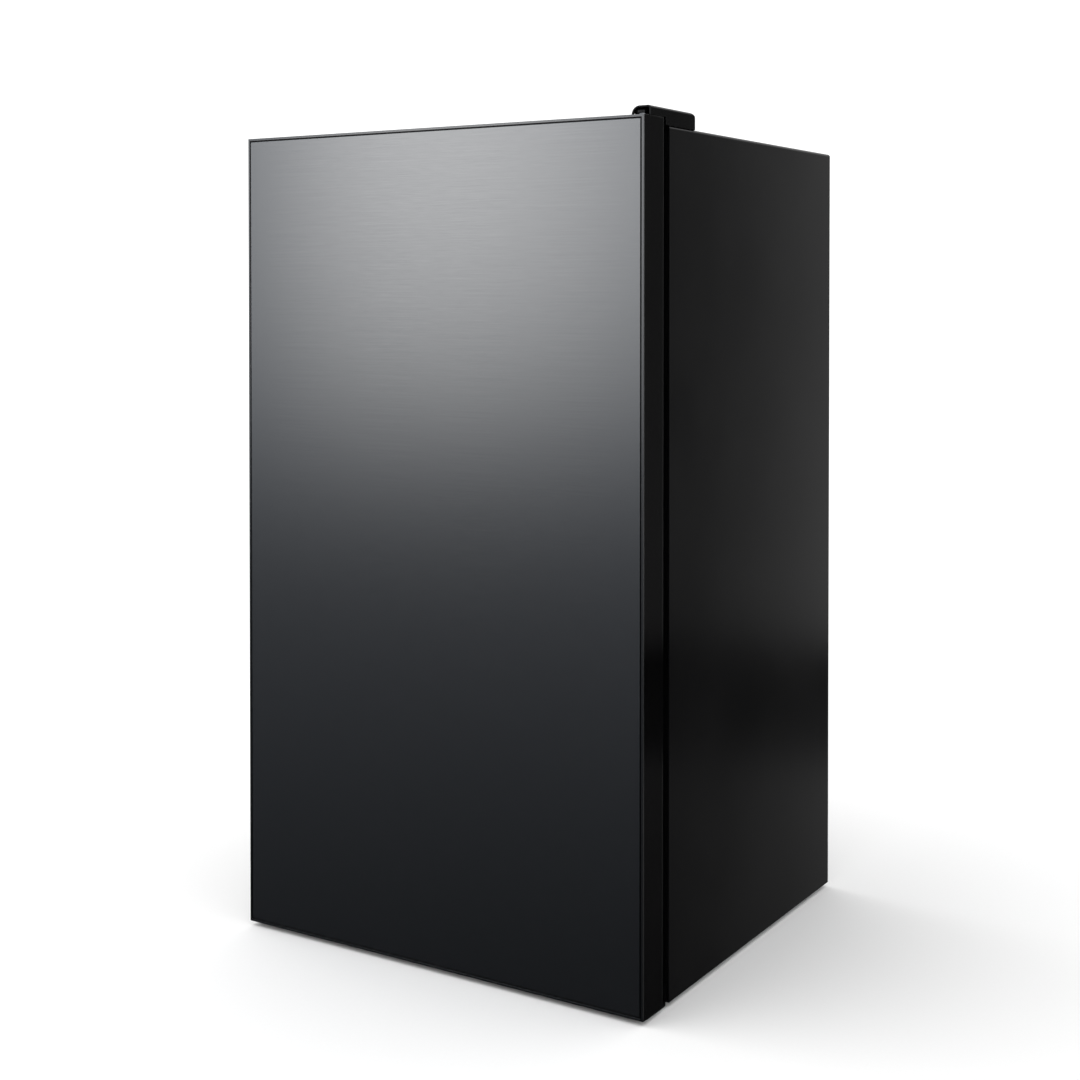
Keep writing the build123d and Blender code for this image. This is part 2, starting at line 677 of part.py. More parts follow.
def cover_block(inset):
    """The outside of the hinge cover, or the hollow inside it when inset by the wall."""
    x0, x1 = X_SIDE - COVER_WIDTH + inset, X_SIDE - inset
    y0 = Y_COVER_FRONT - (5.0 if inset else 0.0)
    y1 = Y_COVER_REAR - inset
    z1 = COVER_TOP - inset
    low = Z_TOP - 5.0
    plan = soft_block(x0, x1, y0 - 20, y1, low, z1, COVER_PLAN_RADIUS - inset)
    side = block(x0, x1, y0 - 20, y1, low, z1)
    rear_edge = side.edges().filter_by(Axis.X).group_by(Axis.Z)[-1].group_by(Axis.Y)[-1]
    side = fillet(rear_edge, COVER_REAR_RADIUS - inset)
    front = block(x0, x1, y0 - 20, y1, low, z1)
    left_edge = front.edges().filter_by(Axis.Y).group_by(Axis.Z)[-1].sort_by(Axis.X)[0]
    front = fillet(left_edge, COVER_LEFT_RADIUS - inset)
    right_edge = front.edges().filter_by(Axis.Y).group_by(Axis.Z)[-1].sort_by(Axis.X)[-1]
    front = fillet(right_edge, COVER_RIGHT_RADIUS - inset)
    keep = block(x0 - 1, x1 + 1, y0, y1 + 1, low - 1, z1 + 1)
    return plan & side & front & keep


def top_hinge_cover():
    """Thin black cap over the top hinge, open below, at the front and at the front left."""
    shell = cover_block(0.0) - cover_block(COVER_WALL)
    under = block(
        X_SIDE - COVER_WIDTH - 1, X_SIDE + 1, Y_COVER_FRONT - 30, Y_COVER_REAR + 1,
        Z_TOP - 10, Z_TOP + 0.2,
    )
    over_door = block(
        X_SIDE - COVER_WIDTH - 1, X_SIDE + 1, Y_COVER_FRONT - 30, Y_CABINET - 7.5,
        Z_TOP - 10, Z_DOOR_TOP + 0.8,
    )
    window = block(
        X_SIDE - COVER_WIDTH - 1, X_SIDE - COVER_WIDTH + COVER_WALL + 0.1,
        Y_COVER_FRONT + 2.5, Y_CABINET - 12, Z_DOOR_TOP, COVER_TOP - 5.0,
    )
    return shell - under - over_door - window


def hinge_hole_plugs():
    """Plastic plugs in the spare hinge holes, for a door hung on the other side."""
    plugs = []
    for x, y in hinge_screw_places():
        cap = rod(-x, y, Z_TOP, Z_TOP + 1.2, PLUG_RADIUS)
        cap = fillet(cap.edges().group_by(Axis.Z)[-1], 0.9)
        plugs.append(cap + rod(-x, y, Z_TOP - 6, Z_TOP, PLUG_RADIUS - 2))
    return Compound(children=plugs)


def bottom_screw_places():
    """The two screws of the bottom hinge, as X and Z."""
    return [(190.0, Z_BOTTOM + 11), (210.0, Z_BOTTOM + 11)]


def bottom_hinge_bracket():
    """Angle bracket that reaches forward under the door, screwed to the front rail."""
    z0, z1 = Z_BRACKET, Z_BRACKET + BRACKET_SHEET
    left, right = HINGE_X - BRACKET_LEFT, HINGE_X + BRACKET_RIGHT
    leaf = soft_block(HINGE_X - 12, right, HINGE_Y - 10, Y_CABINET - 1, z0, z1, 6)
    root = block(left, right, Y_CABINET - 12, Y_CABINET, z0, z1)
    upright = block(left, right, Y_CABINET - BRACKET_SHEET, Y_CABINET, z0, BRACKET_TOP)
    bracket = leaf + root + upright - rod(HINGE_X, HINGE_Y, 0, 40, PIN_RADIUS)
    for x, z in bottom_screw_places():
        bracket -= rod_y(x, Y_CABINET - 8, Y_CABINET + 2, z, HINGE_SCREW_RADIUS)
    return bracket


def bottom_hinge_pin():
    """Pin that carries the door, with its thrust collar."""
    top = Z_BRACKET + BRACKET_SHEET
    collar = rod(HINGE_X, HINGE_Y, top, top + COLLAR_HEIGHT, COLLAR_RADIUS)
    shank = rod(HINGE_X, HINGE_Y, Z_BRACKET, Z_BRACKET + PIN_LENGTH, PIN_RADIUS)
    shank = chamfer(shank.edges().group_by(Axis.Z)[-1], 0.8)
    return collar + shank


def bottom_hinge_screws():
    """Pan-head screws of the bottom hinge."""
    long, narrow = CROSS
    face = Y_CABINET - BRACKET_SHEET
    screws = []
    for x, z in bottom_screw_places():
        head = rod_y(x, face - 2.4, face, z, HINGE_HEAD_RADIUS)
        slot = block(x - long, x + long, face - 3, face - 1.3, z - narrow, z + narrow)
        cross = block(x - narrow, x + narrow, face - 3, face - 1.3, z - long, z + long)
        stem = rod_y(x, face, Y_CABINET + 9, z, HINGE_SCREW_RADIUS)
        screws.append(head + stem - slot - cross)
    return screws


def hinge_screws():
    """All the screws of the two hinges."""
    return Compound(children=[*top_hinge_screws(), *bottom_hinge_screws()])


# ---------------------------------------------------------------- door
def door_front_panel():
    """Metal face of the door with a fine pressed line just inside its rim."""
    panel = block(-X_SIDE, X_SIDE, Y_FRONT, Y_FRONT + PANEL, Z_BOTTOM, Z_DOOR_TOP)
    panel = fillet(panel.edges().filter_by_position(
        Axis.Y, Y_FRONT - 0.1, Y_FRONT + 0.1), PANEL_EDGE)
    line = ring(
        X_SIDE - RIM, Z_BOTTOM + RIM, Z_DOOR_TOP - RIM, GROOVE,
        Y_FRONT - 1, Y_FRONT + GROOVE_DEPTH, 1.0,
    )
    return panel - line


def door_side_trim(side):
    """Black profile along one long side of the door, turned in behind the face and the back."""
    x0, x1 = sorted((side * X_SIDE, side * (X_SIDE - TRIM)))
    trim = block(x0, x1, Y_FRONT + PANEL, Y_DOOR_REAR, Z_BOTTOM, Z_DOOR_TOP)
    hook = sorted((side * (X_SIDE - TRIM), side * (X_SIDE - HOOK_REACH)))
    trim += block(*hook, Y_FRONT + PANEL, Y_FRONT + PANEL + HOOK, Z_BOTTOM, Z_DOOR_TOP)
    back = sorted((side * (X_SIDE - TRIM), side * (X_SIDE - RETURN)))
    trim += block(
        *back, Y_DOOR_REAR - RETURN_SHEET, Y_DOOR_REAR, Z_BOTTOM + RETURN, Z_DOOR_TOP - RETURN
    )
    if side > 0:
        return trim
    return trim - block(-X_SIDE - 1, -X_SIDE + TRIM + 10, *GRIP_Y, *GRIP_Z)


def door_grip_cup():
    """Finger recess let into the free side of the door."""
    x0 = -X_SIDE
    cup = soft_block(x0, x0 + GRIP_DEPTH, *GRIP_Y, *GRIP_Z, 5.0, Axis.X)
    hollow = soft_block(
        x0 - 1, x0 + GRIP_DEPTH - GRIP_WALL, GRIP_Y[0] + GRIP_WALL, GRIP_Y[1] - GRIP_WALL,
        GRIP_Z[0] + GRIP_WALL, GRIP_Z[1] - GRIP_WALL, 4.0, Axis.X,
    )
    hollow = fillet(hollow.edges().group_by(Axis.X)[-1], 3.5)
    return cup - hollow


def door_cap(z0, z1):
    """Plate that closes one end of the door, notched for the hooks of the side trims."""
    half = X_SIDE - TRIM
    between = X_SIDE - HOOK_REACH
    y0 = Y_FRONT + PANEL
    plate = block(-half, half, y0 + HOOK, Y_DOOR_REAR, z0, z1)
    return plate + block(-between, between, y0, y0 + HOOK, z0, z1)


def bush_boss(z0, z1):
    """Tube inside the door that holds a hinge bush."""
    return rod(HINGE_X, HINGE_Y, z0, z1, BUSH_RADIUS + BOSS_WALL)


def back_return(z0, z1):
    """Part of an end cap that folds over the back of the door."""
    half = X_SIDE - TRIM
    return block(-half, half, Y_DOOR_REAR - RETURN_SHEET, Y_DOOR_REAR, z0, z1)


def door_top_cap():
    """Upper end cap."""
    cap = door_cap(Z_DOOR_TOP - CAP, Z_DOOR_TOP) + back_return(Z_DOOR_TOP - RETURN, Z_DOOR_TOP)
    cap += bush_boss(Z_DOOR_TOP - BUSH_LENGTH, Z_DOOR_TOP)
    return cap - rod(HINGE_X, HINGE_Y, Z_DOOR_TOP - 30, Z_DOOR_TOP + 5, BUSH_RADIUS)


def door_bottom_cap():
    """Lower end cap."""
    cap = door_cap(Z_BOTTOM, Z_BOTTOM + CAP) + back_return(Z_BOTTOM, Z_BOTTOM + RETURN)
    cap += bush_boss(Z_BOTTOM, Z_BOTTOM + BUSH_LENGTH)
    return cap - rod(HINGE_X, HINGE_Y, 0, Z_BOTTOM + 30, BUSH_RADIUS)


def door_bushes():
    """Plain bushes that the hinge pins turn in, top and bottom."""
    heights = ((Z_DOOR_TOP - BUSH_LENGTH, Z_DOOR_TOP + 0.2),
               (Z_BOTTOM - 0.3, Z_BOTTOM + BUSH_LENGTH))
    bore = rod(HINGE_X, HINGE_Y, 0, Z_DOOR_TOP + 9, PIN_RADIUS + PIN_CLEARANCE)
    return Compound(children=[
        rod(HINGE_X, HINGE_Y, z0, z1, BUSH_RADIUS) - bore for z0, z1 in heights
    ])


def dike_space(grow=0.0, low=Y_DOOR_POCKET):
    """The raised rim of the door liner and the pocket inside it, as two solids."""
    outer = soft_block(
        -DIKE_OUTER - grow, DIKE_OUTER + grow, low - 5, Y_DIKE_TOP + grow,
        Z_DIKE_LOW - grow, Z_DIKE_HIGH + grow, DIKE_CORNER + grow, Axis.Y,
    )
    outer = fillet(outer.edges().filter_by_position(
        Axis.Y, Y_DIKE_TOP + grow - 0.1, Y_DIKE_TOP + grow + 0.1), 5 + grow)
    inner = DIKE_OUTER - DIKE_WIDTH
    pocket = soft_block(
        -inner + grow, inner - grow, low + grow, Y_DIKE_TOP + 20,
        Z_DIKE_LOW + DIKE_WIDTH + grow, Z_DIKE_HIGH - DIKE_WIDTH - grow,
        POCKET_CORNER - grow, Axis.Y,
    )
    return outer, pocket


def well_block(y0, y1):
    """The outside of the pocket's walls between two depths."""
    half = DIKE_OUTER - DIKE_WIDTH + LINER_SHEET
    return soft_block(
        -half, half, y0, y1, Z_DIKE_LOW + DIKE_WIDTH - LINER_SHEET,
        Z_DIKE_HIGH - DIKE_WIDTH + LINER_SHEET, POCKET_CORNER + LINER_SHEET, Axis.Y,
    )


def door_liner():
    """White inner face of the door: flange, raised rim, pocket and the lugs for the bins."""
    outer, pocket = dike_space()
    hollow, _ = dike_space(-LINER_SHEET)
    half = X_SIDE - RETURN
    inner_face = Y_DOOR_REAR - LINER_SHEET
    flange = block(-half, half, inner_face, Y_DOOR_REAR, Z_BOTTOM + RETURN, Z_DOOR_TOP - RETURN)
    front_side = block(-X_SIDE, X_SIDE, Y_FRONT, inner_face, 0, Z_DOOR_TOP)
    rim = (outer - front_side) - hollow
    well = well_block(Y_DOOR_POCKET - LINER_SHEET, Y_DIKE_TOP - 0.5)
    gap = block(-half, half, Y_FRONT, inner_face, 0, Z_DOOR_TOP)
    gap -= well_block(Y_FRONT - 1, Y_DOOR_REAR + 1)
    opening = soft_block(
        -DIKE_OUTER + LINER_SHEET, DIKE_OUTER - LINER_SHEET,
        Y_DOOR_REAR - 5, Y_DOOR_REAR + 1,
        Z_DIKE_LOW + LINER_SHEET, Z_DIKE_HIGH - LINER_SHEET, DIKE_CORNER - LINER_SHEET, Axis.Y,
    )
    liner = (flange - opening) + rim + well - pocket - gap
    for low, _, _ in BINS.values():
        lug = soft_block(
            BIN_HALF + 1, DIKE_OUTER - DIKE_WIDTH + 1, *LUG_Y,
            low + LUG_RISE - LUG_HEIGHT, low + LUG_RISE, 2, Axis.X,
        )
        liner += lug
        liner += mirror(lug, about=Plane.YZ)
    return liner


def door_foam():
    """Insulation inside the door."""
    half = X_SIDE - TRIM
    lump = block(
        -half, half, Y_FRONT + PANEL, Y_DOOR_REAR - LINER_SHEET,
        Z_BOTTOM + CAP, Z_DOOR_TOP - CAP,
    )
    for side in (-1, 1):
        x0, x1 = sorted((side * X_SIDE, side * (X_SIDE - HOOK_REACH)))
        lump -= block(x0, x1, Y_FRONT, Y_FRONT + PANEL + HOOK, 0, Z_DOOR_TOP)
    lump -= well_block(Y_DOOR_POCKET - LINER_SHEET, Y_DOOR_REAR + 5)
    lump -= bush_boss(0, Z_BOTTOM + BUSH_LENGTH)
    lump -= bush_boss(Z_DOOR_TOP - BUSH_LENGTH, Z_DOOR_TOP)
    return lump - block(-X_SIDE, -X_SIDE + GRIP_DEPTH, *GRIP_Y, *GRIP_Z)


def door_gasket():
    """Magnetic seal: dart in the liner side, folded waist, and the soft head on the flange."""
    outer_x = X_SIDE - 14.0
    z0, z1 = Z_BOTTOM + 19, Z_TOP - 12.5
    parts = [  # inset from the outside, band, start and end of each layer
        (4.0, 14.0, Y_DOOR_REAR, Y_DOOR_REAR + 2.4),
        (8.0, 6.0, Y_DOOR_REAR + 2.4, Y_DOOR_REAR + 4.6),
        (2.0, 18.0, Y_DOOR_REAR + 4.6, Y_DOOR_REAR + 6.4),
        (5.5, 11.0, Y_DOOR_REAR + 6.4, Y_DOOR_REAR + 8.2),
        (0.0, 22.0, Y_DOOR_REAR + 8.2, Y_CABINET),
    ]
    seal = None
    for inset, band, y0, y1 in parts:
        layer = ring(outer_x - inset, z0 + inset, z1 - inset, band, y0, y1, 7 - inset / 2)
        seal = layer if seal is None else seal + layer
    return seal


def door_bin(low, height, y_rear):
    """Open tray on the door, rounded at its free corners, hung by an ear at each end."""
    y0 = Y_DOOR_POCKET + SLACK
    wall = BIN_WALL
    outer = block(-BIN_HALF, BIN_HALF, y0, y_rear, low, low + height)
    hollow = block(
        -BIN_HALF + wall, BIN_HALF - wall, y0 + wall, y_rear - wall,
        low + wall, low + height + 1,
    )
    free = outer.edges().filter_by(Axis.Z).group_by(Axis.Y)[-1]
    outer = fillet(free, BIN_CORNER)
    outer = fillet(outer.edges().group_by(Axis.Z)[0], 3)
    free = hollow.edges().filter_by(Axis.Z).group_by(Axis.Y)[-1]
    hollow = fillet(free, BIN_CORNER - wall)
    tray = outer - hollow
    lip = block(-BIN_HALF + 26, BIN_HALF - 26, y_rear, y_rear + 2.0,
                low + height - 7, low + height)
    tray += fillet(lip.edges().filter_by(Axis.X), 0.9)
    ear = block(
        BIN_HALF - 1, BIN_HALF + 7, -178, -160, low + LUG_RISE, low + LUG_RISE + 6
    )
    ear = fillet(ear.edges().filter_by(Axis.Z).group_by(Axis.X)[-1], 2)
    return tray + ear + mirror(ear, about=Plane.YZ)


def bottle_rail(low, height, y_rear):
    """Plated wire that keeps tall bottles in the lowest bin."""
    x = BIN_HALF - 4.2
    y0, y1 = Y_DOOR_POCKET + 12, y_rear - 8
    z0 = low + height
    z1 = z0 + RAIL_RISE
    points = [(x, y0, z0), (x, y0, z1), (x, y1, z1), (-x, y1, z1), (-x, y0, z1), (-x, y0, z0)]
    return tube(points, [8.0, 14.0, 14.0, 8.0], RAIL_WIRE)


# ---------------------------------------------------------------- inside the cavity
def evaporator_box():
    """Roll-bonded aluminium box, open at the front, with raised refrigerant channels."""
    sheet = 1.6
    z0, z1 = FREEZER_Z
    outer = soft_block(-FREEZER_HALF, FREEZER_HALF, *FREEZER_Y, z0, z1, 8, Axis.Y)
    hollow = soft_block(
        -FREEZER_HALF + sheet, FREEZER_HALF - sheet, FREEZER_Y[0] - 1,
        FREEZER_Y[1] - sheet, z0 + sheet, z1 - sheet, 8 - sheet, Axis.Y,
    )
    box = outer - hollow
    track = None
    z, r = z1 - 0.4, CHANNEL_RADIUS
    for i in range(6):
        y = -50.0 + CHANNEL_PITCH * i
        run = rod_x(-CHANNEL_HALF, CHANNEL_HALF, y, z, r)
        track = run if track is None else track + run
        if i < 5:
            x = CHANNEL_HALF if i % 2 == 0 else -CHANNEL_HALF
            track += rod_y(x, y, y + CHANNEL_PITCH, z, r) + Pos(x, y, z) * Sphere(r)
            track += Pos(x, y + CHANNEL_PITCH, z) * Sphere(r)
    above = block(-X_CAVITY, X_CAVITY, -100, 200, z1 - 0.8, z1 + 10)
    return box + (track & above)


def evaporator_spacers():
    """Plastic posts that hang the evaporator from the ceiling."""
    posts = []
    for x in (-172.0, 172.0):
        for y in (-62.0, 138.0):
            posts.append(rod(x, y, FREEZER_Z[1], Z_CEILING, 6.0))
    return Compound(children=posts)


def freezer_frame():
    """White front frame of the freezer box, with an ear at each end for the flap."""
    z0, z1 = Z_DRIP_TRAY + 4, Z_CEILING - SLACK
    half = X_CAVITY - SLACK
    frame = soft_block(-half, half, *FRAME_Y, z0, z1, 13, Axis.Y)
    hole = soft_block(
        -FREEZER_HALF + 12, FREEZER_HALF - 12, FRAME_Y[0] - 1, FRAME_Y[1] + 1,
        FREEZER_Z[0] + 6, FREEZER_Z[1] - 8, 8, Axis.Y,
    )
    frame = frame - hole
    ear = soft_block(
        181.0, 190.0, FLAP_PIVOT_Y - 6, FRAME_Y[0], FLAP_PIVOT_Z - 6, FLAP_PIVOT_Z + 6, 3,
        Axis.X,
    )
    frame += ear
    frame += mirror(ear, about=Plane.YZ)
    return frame - rod_x(-188, 188, FLAP_PIVOT_Y, FLAP_PIVOT_Z, FLAP_PIN_RADIUS + 0.1)


def freezer_flap():
    """Flip-up door of the freezer box with a pull along its lower edge."""
    half = FLAP_HALF
    t = FLAP_THICKNESS / 2
    panel = block(-half, half, FLAP_PIVOT_Y - t, FLAP_PIVOT_Y + t - 0.3, 674, FLAP_PIVOT_Z)
    low = panel.edges().filter_by(Axis.Y).group_by(Axis.Z)[0]
    panel = fillet(low, 8)
    barrel = rod_x(-half, half, FLAP_PIVOT_Y, FLAP_PIVOT_Z, t - 0.3)
    pins = rod_x(-half - 7, half + 7, FLAP_PIVOT_Y, FLAP_PIVOT_Z, FLAP_PIN_RADIUS)
    dish = soft_block(
        -half + 14, half - 14, FLAP_PIVOT_Y - t - 1, FLAP_PIVOT_Y - t + 1.6, 696, 764, 8,
        Axis.Y,
    )
    pull = block(-45, 45, FLAP_PIVOT_Y - t - 9, FLAP_PIVOT_Y - t + 1, 678, 684)
    pull = fillet(pull.edges().filter_by(Axis.X).group_by(Axis.Y)[0], 2.5)
    return panel + barrel + pins - dish + pull


def drip_tray():
    """Shallow tray on runners under the evaporator."""
    y0, y1 = -84.0, 140.0
    body = soft_block(-176, 176, y0, y1, Z_DRIP_TRAY - 16, Z_DRIP_TRAY + 2, 10)
    flange = block(-SHELF_HALF, SHELF_HALF, y0 + 6, y1, Z_DRIP_TRAY, Z_DRIP_TRAY + 2)
    hollow = soft_block(-174, 174, y0 + 2, y1 - 2, Z_DRIP_TRAY - 14, Z_DRIP_TRAY + 3, 8)
    grip = round_block(-50, 50, y0 - 6, y0 + 1, Z_DRIP_TRAY - 9, Z_DRIP_TRAY - 4, 1.8)
    return body + flange - hollow + grip


def shelf_glass(z):
    """Tempered plate lying on the runners."""
    return soft_block(
        -SHELF_HALF, SHELF_HALF, Y_SHELF_FRONT + 3, Y_SHELF_REAR, z, z + GLASS, 5
    )


def shelf_trim(z):
    """Front and rear edge profiles of a shelf, the rear one with a raised stop."""
    half = SHELF_HALF
    clear = X_CAVITY - RUNNER_DEPTH - 1.5
    pane = shelf_glass(z)
    front = block(-clear, clear, Y_SHELF_FRONT, Y_SHELF_FRONT + 14, z - 4, z + GLASS + 3)
    front = fillet(front.edges().filter_by(Axis.X).group_by(Axis.Y)[0], 3)
    rear = block(-half, half, Y_SHELF_REAR - 10, Y_SHELF_REAR + 2, z, z + GLASS + 3)
    stop = block(-half, half, Y_SHELF_REAR - 1, Y_SHELF_REAR + 2, z, z + GLASS + 16)
    stop = fillet(stop.edges().filter_by(Axis.X).group_by(Axis.Z)[-1], 1.2)
    return Compound(children=[front - pane, (rear + stop) - pane])


def crisper_drawer():
    """Clear drawer with sloping sides and a finger lip."""
    y0, y1 = CRISPER_Y
    z0, z1 = Z_FLOOR + 0.4, CRISPER_TOP

    def tub(shrink, z_low, z_high):
        """A tub that narrows towards its floor."""
        floor = Plane.XY.offset(z_low) * Pos(0, (y0 + y1) / 2) * RectangleRounded(
            2 * (178 - shrink), (y1 - y0) - 14 - 2 * shrink, 10
        )
        mouth = Plane.XY.offset(z_high) * Pos(0, (y0 + y1) / 2) * RectangleRounded(
            2 * (184 - shrink), (y1 - y0) - 2 * shrink, 12
        )
        return loft([floor, mouth])

    body = tub(0, z0, z1) - tub(CRISPER_WALL, z0 + CRISPER_WALL, z1 + 0.01)
    lip = soft_block(-70, 70, y0 - 12, y0 + 2, z1 - 5, z1, 4)
    lip -= tub(1.0, z0, z1 + 0.01)
    rim = soft_block(-186, 186, y0, y1, z1 - 3, z1, 12) - tub(1.0, z0, z1 + 0.01)
    return body + rim + lip


def thermostat_housing():
    """White box on the right wall that holds the thermostat."""
    x0, x1, y0, y1, z0, z1 = HOUSING
    box = block(x0, x1, y0, y1, z0, z1)
    box = fillet(box.edges().filter_by(Axis.Y).group_by(Axis.X)[0], 7)
    box = fillet(box.edges().group_by(Axis.Y)[0].filter_by(Axis.Z), 2)
    box -= block(x0 + 2, x1 - 2, y0 + 2, y1 - 2, z0 + 2, z1 - 2)
    box -= rod_y(KNOB_X, y0 - 1, y0 + 3, KNOB_Z, 4.2)
    for i in range(7):
        y = y0 + 40 + 6 * i
        box -= block(x0 + 10, x1 - 10, y, y + 2.5, z0 - 1, z0 + 3)
    return box


def thermostat_body():
    """The control itself, behind the front of the housing."""
    _, _, y0, _, _, _ = HOUSING
    case = soft_block(KNOB_X - 14, KNOB_X + 16, y0 + 2, y0 + 30, KNOB_Z - 13, KNOB_Z + 13, 3,
                      Axis.Y)
    return case - rod_y(KNOB_X, y0, y0 + 12, KNOB_Z, SHAFT_RADIUS + 0.1)


def thermostat_knob():
    """Ribbed dial with its shaft and a raised pointer."""
    _, _, y0, _, _, _ = HOUSING
    skirt = rod_y(KNOB_X, y0 - 4.5, y0 - 0.5, KNOB_Z, 15.0)
    grip = rod_y(KNOB_X, y0 - 15, y0 - 4.5, KNOB_Z, 11.0)
    grip = fillet(grip.edges().group_by(Axis.Y)[0], 1.5)
    shaft = rod_y(KNOB_X, y0 - 0.5, y0 + 11, KNOB_Z, SHAFT_RADIUS)
    knob = skirt + grip + shaft
    for i in range(16):
        turn = math.radians(22.5 * i)
        knob -= rod_y(
            KNOB_X + 11.6 * math.cos(turn), y0 - 17, y0 - 4.5,
            KNOB_Z + 11.6 * math.sin(turn), 1.3,
        )
    return knob + block(KNOB_X - 0.7, KNOB_X + 0.7, y0 - 15.8, y0 - 14.5, KNOB_Z + 2, KNOB_Z + 9)


# ---------------------------------------------------------------- write every sub-part
def main():
    """Builds and writes the sub-parts."""
    sub_parts = {
        "outer_shell": outer_shell(),
        "front_rail": front_rail(),
        "base_plate": base_plate(),
        "back_panel": back_panel(),
        "back_panel_screws": back_panel_screws(),
        "compressor_step_plate": compressor_step_plate(),
        "compressor_rail": compressor_rail(),
        "power_inlet_gland": power_inlet_gland(),
        "inner_liner": inner_liner(),
        "cabinet_foam": cabinet_foam(),
        "condenser_coil": condenser_coil(),
        "front_foot_left": front_foot(-FOOT_X),
        "front_foot_right": front_foot(FOOT_X),
        "rear_feet": rear_feet(),
        "compressor_shell": compressor_shell(),
        "compressor_feet": compressor_feet(),
        "compressor_grommets": compressor_grommets(),
        "compressor_bolts": compressor_bolts(),
        "relay_cover": relay_cover(),
        "discharge_line": discharge_line(),
        "suction_line": suction_line(),
        "condenser_return": condenser_return(),
        "filter_drier": filter_drier(),
        "capillary_tube": capillary_tube(),
        "top_hinge_plate": top_hinge_plate(),
        "top_hinge_pin": top_hinge_pin(),
        "top_hinge_cover": top_hinge_cover(),
        "hinge_hole_plugs": hinge_hole_plugs(),
        "bottom_hinge_bracket": bottom_hinge_bracket(),
        "bottom_hinge_pin": bottom_hinge_pin(),
        "hinge_screws": hinge_screws(),
        "door_front_panel": door_front_panel(),
        "door_side_trim_left": door_side_trim(-1),
        "door_side_trim_right": door_side_trim(1),
        "door_grip_cup": door_grip_cup(),
        "door_top_cap": door_top_cap(),
        "door_bottom_cap": door_bottom_cap(),
        "door_bushes": door_bushes(),
        "door_liner": door_liner(),
        "door_foam": door_foam(),
        "door_gasket": door_gasket(),
        "bottle_rail": bottle_rail(*BINS["lower_bin"]),
        "evaporator_box": evaporator_box(),
        "evaporator_spacers": evaporator_spacers(),
        "freezer_frame": freezer_frame(),
        "freezer_flap": freezer_flap(),
        "drip_tray": drip_tray(),
        "crisper_cover_glass": shelf_glass(Z_CRISPER_COVER),
        "crisper_drawer": crisper_drawer(),
        "thermostat_housing": thermostat_housing(),
        "thermostat_body": thermostat_body(),
        "thermostat_knob": thermostat_knob(),
    }
    for name, size in BINS.items():
        sub_parts[name] = door_bin(*size)
    for name, level in (("upper_shelf", Z_UPPER_SHELF), ("lower_shelf", Z_LOWER_SHELF)):
        sub_parts[name + "_glass"] = shelf_glass(level)
        sub_parts[name + "_trim"] = shelf_trim(level)
    for name, shape in sub_parts.items():
        save(name, shape)
    print(len(sub_parts), "sub-parts")


main()
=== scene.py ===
"""Looks of the mini fridge: materials for every part, a pale floor, soft light and the camera."""

import json
import math

import bpy
from mathutils import Matrix, Vector

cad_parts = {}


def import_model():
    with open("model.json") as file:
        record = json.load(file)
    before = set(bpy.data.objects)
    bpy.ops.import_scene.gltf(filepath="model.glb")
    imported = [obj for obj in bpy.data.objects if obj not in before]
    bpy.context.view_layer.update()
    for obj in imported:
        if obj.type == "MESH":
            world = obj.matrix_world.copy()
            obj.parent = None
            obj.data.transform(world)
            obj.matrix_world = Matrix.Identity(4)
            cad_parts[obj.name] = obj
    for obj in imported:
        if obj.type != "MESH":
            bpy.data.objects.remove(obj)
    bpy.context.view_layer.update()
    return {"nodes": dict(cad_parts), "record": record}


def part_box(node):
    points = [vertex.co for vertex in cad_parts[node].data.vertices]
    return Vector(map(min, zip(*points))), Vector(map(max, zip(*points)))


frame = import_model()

# ---------------------------------------------------------------- camera
FOCAL_LENGTH = 56.41
SENSOR = 36.0
SHIFT_DOWN = 0.2013
CAMERA_TURN = 0.56  # radians
CAMERA_TILT = 0.0169  # radians, downwards
CAMERA_OFFSET = Vector((0.7369, -1.3528, 0.6665))  # from the door's lower right front corner

# ---------------------------------------------------------------- light
BACKDROP = 1.25  # brightness seen past the object
DOME = 1.14  # brightness that lights matt surfaces
# What shiny surfaces reflect. FRONT_ROOM, FRONT_BOX and SIDE_ROOM pair an elevation in degrees
# with a brightness. BOX_SPAN pairs the sideways part of the level direction, from -1 at the left
# to 1 at the right, with a factor, and SIDE_SPAN does so for its size, from 0 to 1.
FRONT_ROOM = [(-40, 0.008), (-22, 0.015), (-17, 0.029), (-13, 0.042), (-10, 0.052), (-7, 0.08),
              (-4, 0.15), (0, 0.2), (6, 0.24), (20, 0.3), (60, 0.45), (90, 0.6)]
FRONT_BOX = [(-9, 0.0), (-6.5, 0.04), (-4.5, 0.2), (-1.5, 0.54), (2, 0.78), (6, 0.88), (20, 0.7),
             (50, 0.2), (90, 0.0)]
BOX_SPAN = [(-1, 0.0), (-0.72, 0.0), (-0.67, 0.03), (-0.64, 0.72), (-0.612, 1.06), (-0.56, 1.0),
            (-0.51, 0.7), (-0.46, 0.22), (0, 0.3), (0.5, 0.6), (1, 0.4)]
SIDE_ROOM = [(-40, 0.24), (-23, 0.38), (-20, 0.52), (-18, 0.62), (-15.7, 0.78), (-15.1, 0.24),
             (-13.5, 0.16), (-12, 0.1), (-11.2, 1.0), (-9, 1.1), (0, 0.98), (8, 1.1), (25, 1.3),
             (90, 1.6)]
SIDE_SPAN = [(0, 0.5), (0.25, 0.5), (0.34, 0.38), (0.38, 0.24), (0.42, 0.115), (0.45, 0.064),
             (0.5, 0.07), (0.7, 0.1), (1, 0.3)]
ROOM_TINT = (0.9, 0.985, 1.11)  # cool daylight low in the room
BOX_TINT = (1.02, 1.01, 0.985)  # warmer lamp high in the room
KEY_TURN = -1.05  # radians
KEY_TILT = 0.85  # radians
KEY_STRENGTH = 1.1
KEY_WIDTH = 1.3  # radians
